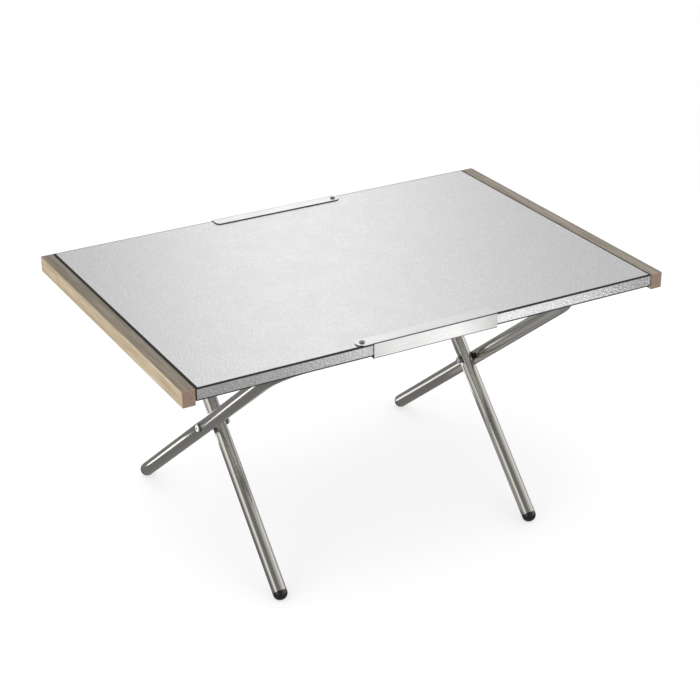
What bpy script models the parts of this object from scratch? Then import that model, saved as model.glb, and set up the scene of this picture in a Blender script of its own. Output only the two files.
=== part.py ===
"""Folding camping table.

An embossed sheet top with folded skirts sits between two wooden end rails. It stands on two
U frames of round tube that cross like scissors, and a swing latch runs along each long edge.
Metres, +Z up, +X along the length, +Y to the back. The floor is at z = 0.
"""

import math

import bmesh
import bpy
from mathutils import Vector

# Overall sizes
TABLE_LENGTH = 0.600
TABLE_DEPTH = 0.400
TABLE_HEIGHT = 0.322

# Top panel, folded from one sheet
SHEET = 0.0008
SHEET_BEND = 0.0012
SKIRT_DEPTH = 0.014
FLANGE_DEPTH = 0.014
CORNER_SLOT = 0.0012

# Wooden end rails
RAIL_WIDTH = 0.015
RAIL_HEIGHT = 0.019
RAIL_EDGE = 0.0010

# Rail screws, driven from inside through the end flange
SCREW_DIAMETER = 0.0030
SCREW_BITE = 0.010
SCREW_POINT = 0.0025
SCREW_HEAD_DIAMETER = 0.0065
SCREW_HEAD_HEIGHT = 0.0022
SCREW_DROP = 0.008
SCREW_END_INSET = 0.050
# Pan head outline as shares of its radius and height, from the top down
SCREW_CROWN = ((0.55, 1.0), (0.88, 0.6), (1.0, 0.3))

# Leg frames
TUBE_DIAMETER = 0.017
TUBE_WALL = 0.0010
TUBE_BEND = 0.040
OUTER_LEGS_APART = 0.376
BETWEEN_TUBES = 0.0015
PIVOT_DROP = 0.165
PIVOT_BACK = 0.0042
BACK_BAR_INSET = 0.041
# Flat seats pressed into the tubes for the bolt heads and nuts
SEAT_PRESS = 0.0018
SEAT_HALF_LENGTH = 0.006
SEAT_RAMP = 0.004

# Foot caps
CAP_LIP = 0.0015
CAP_ROUND = 0.0080
CAP_PLUG = 0.012
CAP_CHAMFER = 0.001
CAP_BORE_DIAMETER = 0.008
CAP_BORE_DEPTH = 0.008

# Pivot bolts, nuts and spacers
BOLT_DIAMETER = 0.005
BOLT_HEAD_DIAMETER = 0.0105
BOLT_HEAD_HEIGHT = 0.0024
BOLT_HEAD_RIM = 0.0006
# Button head outline as shares of its radius and height, from the top down
BOLT_CROWN = ((0.45, 1.0), (0.75, 0.83), (0.93, 0.58))
BOLT_SOCKET = 0.0035
BOLT_SOCKET_DEPTH = 0.0014
NUT_ACROSS = 0.008
NUT_BODY = 0.0040
NUT_DOME = 0.0030
NUT_DOME_DIAMETER = 0.0069
NUT_THREAD_DEPTH = 0.0050
SPACER_DIAMETER = 0.012

# Sheet hooks welded under the top, which hold the crossbars
HOOK_SHEET = 0.0010
HOOK_WIDTH = 0.020
HOOK_FOOT = 0.012
HOOK_BEND = 0.0015
HOOK_WRAP = 48
HOOK_SPACING = 0.220

# Swing latches
LATCH_SHEET = 0.0008
LATCH_STRIP = 0.0155
LATCH_LENGTH = 0.1545
LATCH_SET_BACK = 0.0098
LATCH_CORNER = 0.006
LATCH_BEND = 0.0012
LATCH_LIP = 0.005
FRONT_RIVET_FROM_MIDDLE = 0.090
BACK_RIVET_FROM_MIDDLE = 0.086
RIVET_DIAMETER = 0.0040
RIVET_HEAD_DIAMETER = 0.0065
RIVET_HEAD_HEIGHT = 0.0013

# Clearances
SEAT_GAP = 0.0003
BAR_GAP = 0.0002
HOLE_GAP = 0.0003

# Facets
TUBE_SIDES = 24
BEND_STEPS = 7
TURNED_SIDES = 24
SCREW_SIDES = 14
TUBE_HOLE_SIDES = 16
FOLD_STEPS = 4
CURL_STEPS = 8
CORNER_STEPS = 6
STRIP_END_STEPS = 14
EDGE_STEPS = 3
CUT_THROUGH = 0.008

# Where things come from those sizes
TUBE_RADIUS = TUBE_DIAMETER / 2
PANEL_UNDERSIDE = TABLE_HEIGHT - SHEET
PANEL_HALF_LENGTH = TABLE_LENGTH / 2 - RAIL_WIDTH - SEAT_GAP
HALF_DEPTH = TABLE_DEPTH / 2
BAR_HEIGHT = PANEL_UNDERSIDE - BAR_GAP - TUBE_RADIUS
FRONT_BAR_Y = -(HALF_DEPTH - SHEET - SEAT_GAP - TUBE_RADIUS)
BACK_BAR_Y = HALF_DEPTH - BACK_BAR_INSET
PIVOT_HEIGHT = TABLE_HEIGHT - PIVOT_DROP
OUTER_LEG_X = OUTER_LEGS_APART / 2
INNER_LEG_X = OUTER_LEG_X - TUBE_DIAMETER - BETWEEN_TUBES
OUTER_SLOPE = math.atan2(BAR_HEIGHT - PIVOT_HEIGHT, PIVOT_BACK - FRONT_BAR_Y)
INNER_SLOPE = math.atan2(BAR_HEIGHT - PIVOT_HEIGHT, BACK_BAR_Y - PIVOT_BACK)
OUTER_BAR_TO_PIVOT = math.hypot(BAR_HEIGHT - PIVOT_HEIGHT, PIVOT_BACK - FRONT_BAR_Y)
INNER_BAR_TO_PIVOT = math.hypot(BAR_HEIGHT - PIVOT_HEIGHT, BACK_BAR_Y - PIVOT_BACK)


def clear_scene():
    for thing in list(bpy.data.objects):
        bpy.data.objects.remove(thing, do_unlink=True)


def material(name, colour, roughness, metallic):
    """One plain finish for one sub-part."""
    made = bpy.data.materials.new(name)
    made.use_nodes = True
    shader = made.node_tree.nodes["Principled BSDF"]
    shader.inputs["Base Color"].default_value = (*colour, 1)
    shader.inputs["Roughness"].default_value = roughness
    shader.inputs["Metallic"].default_value = metallic
    return made


def steel(name):
    return material(name, (0.62, 0.61, 0.59), 0.32, 1.0)


def embossed_steel(name):
    return material(name, (0.78, 0.77, 0.78), 0.42, 1.0)


def wood(name):
    return material(name, (0.58, 0.45, 0.31), 0.6, 0.0)


def black_rubber(name):
    return material(name, (0.015, 0.015, 0.015), 0.5, 0.0)


def arc(centre, radius, start, end, steps):
    """Points on a circle, in degrees from the first axis of the plane."""
    angles = [math.radians(start + (end - start) * i / steps) for i in range(steps + 1)]
    return [(centre[0] + radius * math.cos(a), centre[1] + radius * math.sin(a)) for a in angles]


def strip_outline(line, thickness):
    """The closed outline of a folded strip whose middle follows this line."""
    points = [Vector(point) for point in line]
    sides = ([], [])
    for i, point in enumerate(points):
        before = (point - points[i - 1]).normalized() if i > 0 else None
        after = (points[i + 1] - point).normalized() if i < len(points) - 1 else None
        before = before or after
        after = after or before
        normal = Vector((-(before + after).y, (before + after).x)).normalized()
        reach = thickness / 2 / normal.dot(Vector((-before.y, before.x)))
        sides[0].append(point + normal * reach)
        sides[1].append(point - normal * reach)
    return [tuple(point) for point in sides[0] + sides[1][::-1]]


def finish_mesh(name, shape, finish, smooth_angle=35):
    """Turn a bmesh into an object with outward faces, its finish and smooth round parts."""
    bmesh.ops.recalc_face_normals(shape, faces=shape.faces)
    mesh = bpy.data.meshes.new(name)
    shape.to_mesh(mesh)
    shape.free()
    mesh.shade_smooth()
    mesh.set_sharp_from_angle(angle=math.radians(smooth_angle))
    if finish:
        mesh.materials.append(finish)
    made = bpy.data.objects.new(name, mesh)
    bpy.context.scene.collection.objects.link(made)
    return made


def prism(name, corners, along, finish=None):
    """Extrude a flat outline of 3D corners along a vector."""
    shape = bmesh.new()
    face = shape.faces.new([shape.verts.new(corner) for corner in corners])
    pulled = bmesh.ops.extrude_face_region(shape, geom=[face])
    moved = [item for item in pulled["geom"] if isinstance(item, bmesh.types.BMVert)]
    bmesh.ops.translate(shape, verts=moved, vec=along)
    return finish_mesh(name, shape, finish)


def turned(name, outline, finish=None, closed=False, sides=TURNED_SIDES):
    """Spin an outline of (radius, height) points about Z. A ring has a closed outline."""
    shape = bmesh.new()
    points = [shape.verts.new((radius, 0, height)) for radius, height in outline]
    ends = points[1:] + points[:1] if closed else points[1:]
    edges = [shape.edges.new(pair) for pair in zip(points, ends)]
    bmesh.ops.spin(
        shape,
        geom=points + edges,
        cent=(0, 0, 0),
        axis=(0, 0, 1),
        angle=math.tau,
        steps=sides,
        use_merge=True,
    )
    bmesh.ops.remove_doubles(shape, verts=shape.verts, dist=1e-7)
    return finish_mesh(name, shape, finish)


def combine(body, other, operation):
    """Add or cut with a helper that stays hidden and moves with the body."""
    other.hide_render = True
    other.display_type = "WIRE"
    change = body.modifiers.new(other.name, "BOOLEAN")
    change.operation = operation
    change.solver = "EXACT"
    change.object = other


def cut(body, cutter):
    combine(body, cutter, "DIFFERENCE")


def join(body, added):
    combine(body, added, "UNION")


def peg(name, radius, length, sides=TURNED_SIDES):
    """A plain round or six-sided cutter that runs both ways from its origin along Z."""
    half = length / 2
    return turned(name, [(0, half), (radius, half), (radius, -half), (0, -half)], sides=sides)


def axis_empty(name, location, tilt=0.0):
    made = bpy.data.objects.new(name, None)
    made.location = location
    made.rotation_euler.x = tilt
    bpy.context.scene.collection.objects.link(made)
    return made


def channel_outline(half_width, depth, bend, sheet):
    """A sheet folded down at both sides: outline points (across, up) with the top face at 0."""
    outside = (
        [(-half_width, -depth)]
        + arc((bend - half_width, -bend), bend, 180, 90, FOLD_STEPS)
        + arc((half_width - bend, -bend), bend, 90, 0, FOLD_STEPS)
        + [(half_width, -depth)]
    )
    inner = bend - sheet
    inside = (
        [(half_width - sheet, -depth)]
        + arc((half_width - bend, -bend), inner, 0, 90, FOLD_STEPS)
        + arc((bend - half_width, -bend), inner, 90, 180, FOLD_STEPS)
        + [(sheet - half_width, -depth)]
    )
    return outside + inside


def latch_positions():
    """Name, rivet place and turn about Z. The back latch is the front one turned half round."""
    rivet_y = HALF_DEPTH - LATCH_STRIP / 2
    front = Vector((-FRONT_RIVET_FROM_MIDDLE, -rivet_y, TABLE_HEIGHT))
    back = Vector((BACK_RIVET_FROM_MIDDLE, rivet_y, TABLE_HEIGHT))
    return (("front_latch", front, 0.0), ("back_latch", back, math.pi))


def screw_places():
    for end, side in (("left", -1), ("right", 1)):
        for row, step in (("front", -1), ("middle", 0), ("back", 1)):
            yield f"rail_screw_{end}_{row}", side, step * (HALF_DEPTH - SCREW_END_INSET)


def make_top_panel():
    skirt_end = PANEL_HALF_LENGTH - SHEET_BEND - CORNER_SLOT
    flange_end = HALF_DEPTH - SHEET_BEND
    skirts = channel_outline(HALF_DEPTH, SKIRT_DEPTH, SHEET_BEND, SHEET)
    flanges = channel_outline(PANEL_HALF_LENGTH, FLANGE_DEPTH, SHEET_BEND, SHEET)
    panel = prism(
        "top_panel",
        [(-skirt_end, across, up) for across, up in skirts],
        (2 * skirt_end, 0, 0),
        embossed_steel("top_panel_steel"),
    )
    panel.location.z = TABLE_HEIGHT
    ends = prism(
        "end_flanges", [(along, -flange_end, up) for along, up in flanges], (0, 2 * flange_end, 0)
    )
    ends.parent = panel
    join(panel, ends)
    for name, place, _ in latch_positions():
        hole = peg(f"{name}_hole", RIVET_DIAMETER / 2 + HOLE_GAP, CUT_THROUGH)
        hole.location = place
        cut(panel, hole)
    for name, side, y in screw_places():
        hole = peg(f"{name}_hole", SCREW_DIAMETER / 2 + HOLE_GAP, CUT_THROUGH, SCREW_SIDES)
        hole.location = (side * PANEL_HALF_LENGTH, y, TABLE_HEIGHT - SCREW_DROP)
        hole.rotation_euler.y = math.pi / 2
        cut(panel, hole)


def make_rail(name, side):
    """A square bar with eased edges and a blind pilot hole for each screw."""
    shape = bmesh.new()
    bmesh.ops.create_cube(shape, size=1)
    bmesh.ops.scale(shape, verts=shape.verts, vec=(RAIL_WIDTH, TABLE_DEPTH, RAIL_HEIGHT))
    bmesh.ops.bevel(
        shape,
        geom=shape.edges[:],
        offset=RAIL_EDGE,
        segments=EDGE_STEPS,
        profile=0.5,
        affect="EDGES",
    )
    rail = finish_mesh(name, shape, wood(f"{name}_wood"))
    middle_x = (TABLE_LENGTH - RAIL_WIDTH) / 2
    rail.location = (side * middle_x, 0, TABLE_HEIGHT - RAIL_HEIGHT / 2)
    for screw, end, y in screw_places():
        if end != side:
            continue
        depth = SCREW_BITE + SCREW_POINT + HOLE_GAP
        pilot = peg(f"{screw}_pilot", SCREW_DIAMETER / 2 + HOLE_GAP, 2 * depth, SCREW_SIDES)
        pilot.location = (side * (TABLE_LENGTH / 2 - RAIL_WIDTH), y, TABLE_HEIGHT - SCREW_DROP)
        pilot.rotation_euler.y = math.pi / 2
        cut(rail, pilot)


def make_screw(name, side, y):
    """A pan head inside the flange and a pointed shank into the rail, along local -Z."""
    radius = SCREW_DIAMETER / 2
    head = SCREW_HEAD_DIAMETER / 2
    shank = SEAT_GAP + SHEET + SEAT_GAP + SCREW_BITE
    outline = [(0, SCREW_HEAD_HEIGHT)]
    outline += [(head * wide, SCREW_HEAD_HEIGHT * high) for wide, high in SCREW_CROWN]
    outline += [(head, 0), (radius, 0), (radius, -shank), (0, -shank - SCREW_POINT)]
    screw = turned(name, outline, steel(f"{name}_steel"), sides=SCREW_SIDES)
    face = PANEL_HALF_LENGTH - SHEET - SEAT_GAP
    screw.location = (side * face, y, TABLE_HEIGHT - SCREW_DROP)
    screw.rotation_euler.y = -side * math.pi / 2


def make_hook(name, x, bar_y):
    """A bent strip: a flat foot under the sheet, then a leaf that curls under the crossbar."""
    middle = TUBE_RADIUS + SEAT_GAP + HOOK_SHEET / 2
    foot_level = TUBE_RADIUS + BAR_GAP - SEAT_GAP - HOOK_SHEET / 2
    bend = HOOK_BEND + HOOK_SHEET / 2
    line = [(middle + bend + HOOK_FOOT, foot_level)]
    line += arc((middle + bend, foot_level - bend), bend, 90, 180, FOLD_STEPS)
    line += arc((0, 0), middle, 0, -HOOK_WRAP, CURL_STEPS)
    outline = strip_outline(line, HOOK_SHEET)
    hook = prism(
        name,
        [(-HOOK_WIDTH / 2, across, up) for across, up in outline],
        (HOOK_WIDTH, 0, 0),
        steel(f"{name}_steel"),
    )
    hook.location = (x, bar_y, BAR_HEIGHT)


def u_path(leg_x, bar, pivot, foot):
    """Stations (point, direction, press) of a U in its own plane, from one foot to the other."""
    corner = leg_x - TUBE_BEND
    ramp = SEAT_HALF_LENGTH + SEAT_RAMP
    seat = ((ramp, 0), (SEAT_HALF_LENGTH, SEAT_PRESS), (-SEAT_HALF_LENGTH, SEAT_PRESS), (-ramp, 0))
    leg = [(foot, 0)] + [(pivot + along, press) for along, press in seat]
    stations = [((-leg_x, y), (0, -1), press) for y, press in leg]
    for centre_x, start in ((-corner, 180), (corner, 270)):
        for i in range(BEND_STEPS + 1):
            angle = math.radians(start + 90 * i / BEND_STEPS)
            at = (centre_x + TUBE_BEND * math.cos(angle), bar + TUBE_BEND * (1 + math.sin(angle)))
            stations.append((at, (-math.sin(angle), math.cos(angle)), 0))
    return stations + [((leg_x, y), (0, 1), press) for y, press in leg[::-1]]


def bent_tube(name, stations, seat_side, finish):
    """Sweep a round hollow section along the stations, its bolt seats pressed on one side.

    seat_side is 1 where the seats face out of the U and -1 where they face into it.
    """
    shape = bmesh.new()
    rings = []
    for radius in (TUBE_RADIUS, TUBE_RADIUS - TUBE_WALL):
        layer = []
        for (x, y), (dx, dy), press in stations:
            ring = []
            for i in range(TUBE_SIDES):
                angle = math.tau * i / TUBE_SIDES
                out = seat_side * min(radius * math.cos(angle), radius - press)
                up = seat_side * radius * math.sin(angle)
                ring.append(shape.verts.new((x + dy * out, y - dx * out, up)))
            layer.append(ring)
        rings.append(layer)
    outer, inner = rings
    loops = outer + inner[::-1]
    for first, second in zip(loops, loops[1:] + loops[:1]):
        for i in range(TUBE_SIDES):
            j = (i + 1) % TUBE_SIDES
            shape.faces.new((first[i], first[j], second[j], second[i]))
    return finish_mesh(name, shape, finish)


def foot_height(slope):
    """Height of a tube end above the floor when its cap's round edge touches the floor."""
    lip = (SEAT_GAP + CAP_LIP) * math.sin(slope)
    return lip + (TUBE_RADIUS - CAP_ROUND) * math.cos(slope) + CAP_ROUND


def make_cap(name, x, tube_end, frame):
    """A domed plug: a stepped head below the tube end and a hollow stem inside it."""
    flat = TUBE_RADIUS - CAP_ROUND
    stem = TUBE_RADIUS - TUBE_WALL - HOLE_GAP
    bore = CAP_BORE_DIAMETER / 2
    head_end = SEAT_GAP + CAP_LIP
    bottom = CAP_BORE_DEPTH - CAP_PLUG
    outline = [(0, bottom), (bore, bottom), (bore, -CAP_PLUG)]
    outline += [(stem - CAP_CHAMFER, -CAP_PLUG), (stem, CAP_CHAMFER - CAP_PLUG)]
    outline += [(stem, SEAT_GAP), (TUBE_RADIUS, SEAT_GAP)]
    outline += arc((flat, head_end), CAP_ROUND, 0, 90, CURL_STEPS)
    outline += [(0, head_end + CAP_ROUND)]
    cap = turned(name, outline, black_rubber(f"{name}_rubber"), sides=TUBE_SIDES)
    cap.parent = frame
    cap.location = (x, tube_end, 0)
    cap.rotation_euler.x = -math.pi / 2


def make_leg_frame(name, leg_x, slope, height, places, caps):
    """A U tube, its foot caps and the empty on its turning axis."""
    axis, tilt = places["axis"], places["tilt"]
    frame = axis_empty(f"{name}_axis", axis, tilt)
    tube_end = (axis.z - height) / math.sin(slope)
    path = u_path(leg_x, places["bar"], places["pivot"], tube_end)
    tube = bent_tube(name, path, places["seat_side"], steel(f"{name}_steel"))
    tube.parent = frame
    for side, cap in zip((-1, 1), caps):
        make_cap(cap, side * leg_x, tube_end, frame)
    return frame, tube


def bolt_along_x(thing, side, x, place, frame):
    thing.parent = frame
    thing.location = (side * x, place, 0)
    thing.rotation_euler.y = side * math.pi / 2


def make_pivot(label, side, frame, outer_tube, inner_tube):
    """Bolt from outside, spacer between the tubes and domed nut on the inner side."""
    shank = BOLT_DIAMETER / 2
    head = BOLT_HEAD_DIAMETER / 2
    head_seat = OUTER_LEG_X + TUBE_RADIUS - SEAT_PRESS + SEAT_GAP
    nut_seat = INNER_LEG_X - TUBE_RADIUS + SEAT_PRESS - SEAT_GAP
    shank_end = head_seat - nut_seat + NUT_THREAD_DEPTH - SEAT_GAP
    outline = [(0, BOLT_HEAD_HEIGHT)]
    outline += [(head * wide, BOLT_HEAD_HEIGHT * high) for wide, high in BOLT_CROWN]
    outline += [(head, BOLT_HEAD_RIM), (head, 0), (shank, 0), (shank, -shank_end)]
    outline += [(0, -shank_end)]
    bolt = turned(f"pivot_bolt_{label}", outline, steel(f"pivot_bolt_{label}_steel"))
    bolt_along_x(bolt, side, head_seat, OUTER_BAR_TO_PIVOT, frame)
    socket = peg(f"pivot_bolt_{label}_socket", BOLT_SOCKET / math.sqrt(3), 2 * BOLT_SOCKET_DEPTH, 6)
    socket.location = (0, 0, BOLT_HEAD_HEIGHT)
    socket.parent = bolt
    cut(bolt, socket)

    nut_radius = NUT_ACROSS / math.sqrt(3)
    nut = turned(
        f"pivot_nut_{label}",
        [(0, 0), (nut_radius, 0), (nut_radius, -NUT_BODY), (0, -NUT_BODY)],
        steel(f"pivot_nut_{label}_steel"),
        sides=6,
    )
    bolt_along_x(nut, side, nut_seat, OUTER_BAR_TO_PIVOT, frame)
    dome_foot = NUT_DOME_DIAMETER / 2
    dome = turned(
        f"pivot_nut_{label}_dome",
        [(0, -NUT_BODY / 2), (dome_foot, -NUT_BODY / 2), (dome_foot, -NUT_BODY)]
        + [(dome_foot * math.cos(a), -NUT_BODY - NUT_DOME * math.sin(a)) for a in dome_angles()]
        + [(0, -NUT_BODY - NUT_DOME)],
    )
    dome.parent = nut
    join(nut, dome)
    thread = peg(f"pivot_nut_{label}_thread", shank + HOLE_GAP, 2 * NUT_THREAD_DEPTH)
    thread.parent = nut
    cut(nut, thread)

    half = BETWEEN_TUBES / 2 - SEAT_GAP
    rim, bore = SPACER_DIAMETER / 2, shank + HOLE_GAP
    spacer = turned(
        f"pivot_spacer_{label}",
        [(bore, -half), (rim, -half), (rim, half), (bore, half)],
        black_rubber(f"pivot_spacer_{label}_nylon"),
        closed=True,
    )
    bolt_along_x(spacer, side, OUTER_LEG_X - TUBE_RADIUS - BETWEEN_TUBES / 2, OUTER_BAR_TO_PIVOT, frame)

    for tube, leg_x, place in (
        (outer_tube, OUTER_LEG_X, OUTER_BAR_TO_PIVOT),
        (inner_tube, INNER_LEG_X, 0),
    ):
        hole = peg(f"{tube.name}_{label}_hole", shank + HOLE_GAP, 2 * TUBE_DIAMETER, TUBE_HOLE_SIDES)
        hole.parent = tube
        hole.location = (side * leg_x, place, 0)
        # Along X, turned by half a facet so that no corner of it falls on the tube's middle line
        hole.rotation_euler = (math.pi / 2, math.pi / TUBE_HOLE_SIDES, math.pi / 2)
        cut(tube, hole)


def dome_angles():
    return [math.radians(angle) for angle in (25, 50, 75)]


def make_latch(name, place, turn):
    """A strip on the top face, a flange outside the skirt and a lip turned in under the bar."""
    half_strip = LATCH_STRIP / 2
    low, high = SEAT_GAP, SEAT_GAP + LATCH_SHEET
    start, end = LATCH_SET_BACK, LATCH_SET_BACK + LATCH_LENGTH
    strip = arc((0, 0), half_strip, 270, 90, STRIP_END_STEPS)
    corner = (end - LATCH_CORNER, half_strip - LATCH_CORNER)
    strip += arc(corner, LATCH_CORNER, 90, 0, CORNER_STEPS)
    strip += [(end, -half_strip)]
    latch = prism(
        name,
        [(x, y, low) for x, y in strip],
        (0, 0, high - low),
        steel(f"{name}_steel"),
    )
    latch.location = place
    latch.rotation_euler.z = turn

    face = -half_strip - SEAT_GAP - LATCH_SHEET / 2
    middle = (low + high) / 2
    bend = LATCH_BEND
    lip_to_bar = max(-face - LATCH_LIP - half_strip + HALF_DEPTH + FRONT_BAR_Y, 0)
    bar_side = math.sqrt(max(TUBE_RADIUS**2 - lip_to_bar**2, 0))
    bar_bottom = TABLE_HEIGHT - BAR_HEIGHT + bar_side
    lip_level = -(max(bar_bottom, SKIRT_DEPTH) + BAR_GAP + LATCH_SHEET / 2)
    line = [(0, middle)]
    line += arc((face + bend, middle - bend), bend, 90, 180, FOLD_STEPS)
    line += arc((face + bend, lip_level + bend), bend, 180, 270, FOLD_STEPS)
    line += [(face + LATCH_LIP, lip_level)]
    flange = prism(
        f"{name}_flange",
        [(start, across, up) for across, up in strip_outline(line, LATCH_SHEET)],
        (end - start, 0, 0),
    )
    flange.parent = latch
    join(latch, flange)
    hole = peg(f"{name}_rivet_hole", RIVET_DIAMETER / 2 + HOLE_GAP, CUT_THROUGH)
    hole.parent = latch
    cut(latch, hole)


def make_rivet(name, place):
    """A domed head above the latch and a shank peened flush with the sheet's underside."""
    head_seat = 2 * SEAT_GAP + LATCH_SHEET
    head = RIVET_HEAD_DIAMETER / 2
    shank = RIVET_DIAMETER / 2
    crown = [
        (head * math.sin(a), head_seat + RIVET_HEAD_HEIGHT * math.cos(a))
        for a in (math.radians(angle) for angle in range(0, 91, 15))
    ]
    outline = crown + [(shank, head_seat), (shank, -SHEET), (0, -SHEET)]
    rivet = turned(name, outline, steel(f"{name}_steel"))
    rivet.location = place


def main():
    clear_scene()
    make_top_panel()
    make_rail("left_rail", -1)
    make_rail("right_rail", 1)
    for name, side, y in screw_places():
        make_screw(name, side, y)
    for side, label in ((-1, "left"), (1, "right")):
        make_hook(f"front_bar_clip_{label}", side * HOOK_SPACING / 2, FRONT_BAR_Y)
        make_hook(f"back_bar_hook_{label}", side * HOOK_SPACING / 2, BACK_BAR_Y)
    outer_axis, outer_tube = make_leg_frame(
        "outer_leg_frame",
        OUTER_LEG_X,
        OUTER_SLOPE,
        foot_height(OUTER_SLOPE),
        {
            "axis": Vector((0, FRONT_BAR_Y, BAR_HEIGHT)),
            "tilt": -OUTER_SLOPE,
            "bar": 0,
            "pivot": OUTER_BAR_TO_PIVOT,
            "seat_side": 1,
        },
        ("foot_cap_back_left", "foot_cap_back_right"),
    )
    _, inner_tube = make_leg_frame(
        "inner_leg_frame",
        INNER_LEG_X,
        INNER_SLOPE,
        foot_height(INNER_SLOPE),
        {
            "axis": Vector((0, PIVOT_BACK, PIVOT_HEIGHT)),
            "tilt": INNER_SLOPE - math.pi,
            "bar": -INNER_BAR_TO_PIVOT,
            "pivot": 0,
            "seat_side": -1,
        },
        ("foot_cap_front_left", "foot_cap_front_right"),
    )
    for side, label in ((-1, "left"), (1, "right")):
        make_pivot(label, side, outer_axis, outer_tube, inner_tube)
    for name, place, turn in latch_positions():
        make_latch(name, place, turn)
        make_rivet(f"{name}_rivet", place)


main()
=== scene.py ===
"""Folding camping table: finer pieces, finishes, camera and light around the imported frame."""

import math

import bmesh
import bpy
from mathutils import Matrix, Vector


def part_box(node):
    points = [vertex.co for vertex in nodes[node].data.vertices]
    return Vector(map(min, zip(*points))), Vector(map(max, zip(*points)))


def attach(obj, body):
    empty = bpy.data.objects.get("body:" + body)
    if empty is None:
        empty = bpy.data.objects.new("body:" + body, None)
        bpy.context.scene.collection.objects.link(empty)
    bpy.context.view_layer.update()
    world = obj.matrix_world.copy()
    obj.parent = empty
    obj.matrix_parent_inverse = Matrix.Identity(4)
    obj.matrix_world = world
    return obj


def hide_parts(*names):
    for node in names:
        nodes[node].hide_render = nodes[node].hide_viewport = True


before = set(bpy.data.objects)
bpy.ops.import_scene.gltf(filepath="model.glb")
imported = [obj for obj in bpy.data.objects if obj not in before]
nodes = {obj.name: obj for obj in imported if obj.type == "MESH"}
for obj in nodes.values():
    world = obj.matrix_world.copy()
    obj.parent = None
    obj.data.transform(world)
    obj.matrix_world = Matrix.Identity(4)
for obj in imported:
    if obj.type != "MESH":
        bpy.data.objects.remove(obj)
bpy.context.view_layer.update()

# Clearances, in metres like every length of the table and the studio
SEAT_GAP = 0.0003
HOLE_GAP = 0.0003
BAR_GAP = 0.0002

# Top panel
TABLE_HEIGHT = 0.322
TABLE_HALF_LENGTH = 0.3
RAIL_WIDTH = 0.015
PANEL_HALF_LENGTH = TABLE_HALF_LENGTH - RAIL_WIDTH - SEAT_GAP
PANEL_HALF_DEPTH = 0.2
SKIRT_DEPTH = 0.014
HEM = TABLE_HEIGHT - SKIRT_DEPTH
SHEET = 0.0008
SHEET_BEND = 0.0012
SHEET_BEND_STEPS = 6
SCREW_RADIUS = 0.0015
SHEET_DRILL_REACH = 0.01

# Leg frames
TUBE_RADIUS = 0.0085
TUBE_WALL = 0.001
TUBE_BEND = 0.040
BETWEEN_TUBES = 0.0015
BAR_HEIGHT = TABLE_HEIGHT - SHEET - BAR_GAP - TUBE_RADIUS
FRONT_BAR_Y = -(PANEL_HALF_DEPTH - SHEET - SEAT_GAP - TUBE_RADIUS)
BACK_BAR_INSET = 0.041
BACK_BAR_Y = PANEL_HALF_DEPTH - BACK_BAR_INSET
OUTER_LEG_X = 0.188
INNER_LEG_X = OUTER_LEG_X - 2 * TUBE_RADIUS - BETWEEN_TUBES
PIVOT_DROP = 0.165
PIVOT_Y = 0.0042
PIVOT_HEIGHT = TABLE_HEIGHT - PIVOT_DROP
TUBE_SIDES = 56
BEND_STEPS = 20
DRILL_SIDES = 36
TUBE_DRILL_REACH = 0.02
# Flat seats pressed into the tubes for the bolt heads and nuts
SEAT_PRESS = 0.0018
SEAT_HALF_LENGTH = 0.006
SEAT_RAMP = 0.004

# Foot caps
CAP_LIP = 0.0015
CAP_ROUND = 0.0080
CAP_ROUND_STEPS = 12
CAP_PLUG = 0.012
CAP_BORE_RADIUS = 0.004
CAP_BORE_DEPTH = 0.008

# Pivot bolts, nuts and spacers
TURNED_SIDES = 48
BORE_SIDES = 32
BOLT_RADIUS = 0.0025
BOLT_HEAD_RADIUS = 0.00525
BOLT_HEAD_HEIGHT = 0.0024
BOLT_HEAD_BEVEL = 0.0018
BOLT_SOCKET = 0.0035
BOLT_SOCKET_DEPTH = 0.0014
BOLT_END_BEVEL = 0.0004
NUT_ACROSS = 0.008
NUT_BODY = 0.0040
NUT_BEVEL = 0.0004
NUT_BEVEL_REACH = 0.99
NUT_DOME = 0.0030
NUT_DOME_RADIUS = 0.00345
DOME_SIDES = 40
NUT_THREAD_DEPTH = 0.0050
SPACER_RADIUS = 0.006
SPACER_BEVEL = 0.00015
SPACER_DRILL_REACH = 0.005
CUT_THROUGH = 0.002
HEAD_STEPS = 8

# Latches and their rivets
LATCH_BOTTOM = 0.30485
LATCH_FREE_END = 0.0743
RIVET_RADIUS = 0.0020
RIVET_HEAD_RADIUS = 0.00325
RIVET_HEAD_HEIGHT = 0.0013
RIVET_CROWN = 0.98
RIVET_SEAT = 0.0014

# Modelling: how near counts as the same height or the same point, and what stays a sharp edge, in degrees
SAME_HEIGHT = 1e-5
SAME_POINT = 1e-6
EDGE_ANGLE = 30
DOME_ANGLE = 40

# Painted shade lines on the top sheet, as how far inside a face each starts and where it is full
END_FOLD = (0.0034, 0.0027)
SIDE_FOLD = (0.0026, 0.0018)
TOP_FOLD = (0.0020, 0.0013)
CORNER_CUT = (0.0017, 0.0011)
SKIRT_SKIN = (0.0011, 0.0009)
# The hem's painted shade line is full up to one height over it and gone at another
HEM_LINE = (0.0012, 0.0019)

# Painted shade on a latch: lines measured from the panel's side and top and from the latch's bottom, and a
# darker free end
LATCH_FOLD = (0.0001, -0.0003)
BACK_LATCH_FOLD = (0.0012, 0.0008)
LATCH_RIM = 0.0004
LATCH_ABOVE = 0.0002
LATCH_HEM_LINE = (0.0013, 0.0018)
END_SHADE_STARTS = 0.025
END_SHADE_SHARE = 0.58

# Painted shade on bolts and nuts, measured about the pivot's middle line
BOLT_RIM_SHADE = 0.0007
NUT_BORE_LIP = 0.001
HOLLOW_FADE = 0.0004
RIM_FADE = 0.0006

# Most of a noise lies between these two values
NOISE_LOW = 0.3
NOISE_HIGH = 0.7

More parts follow.
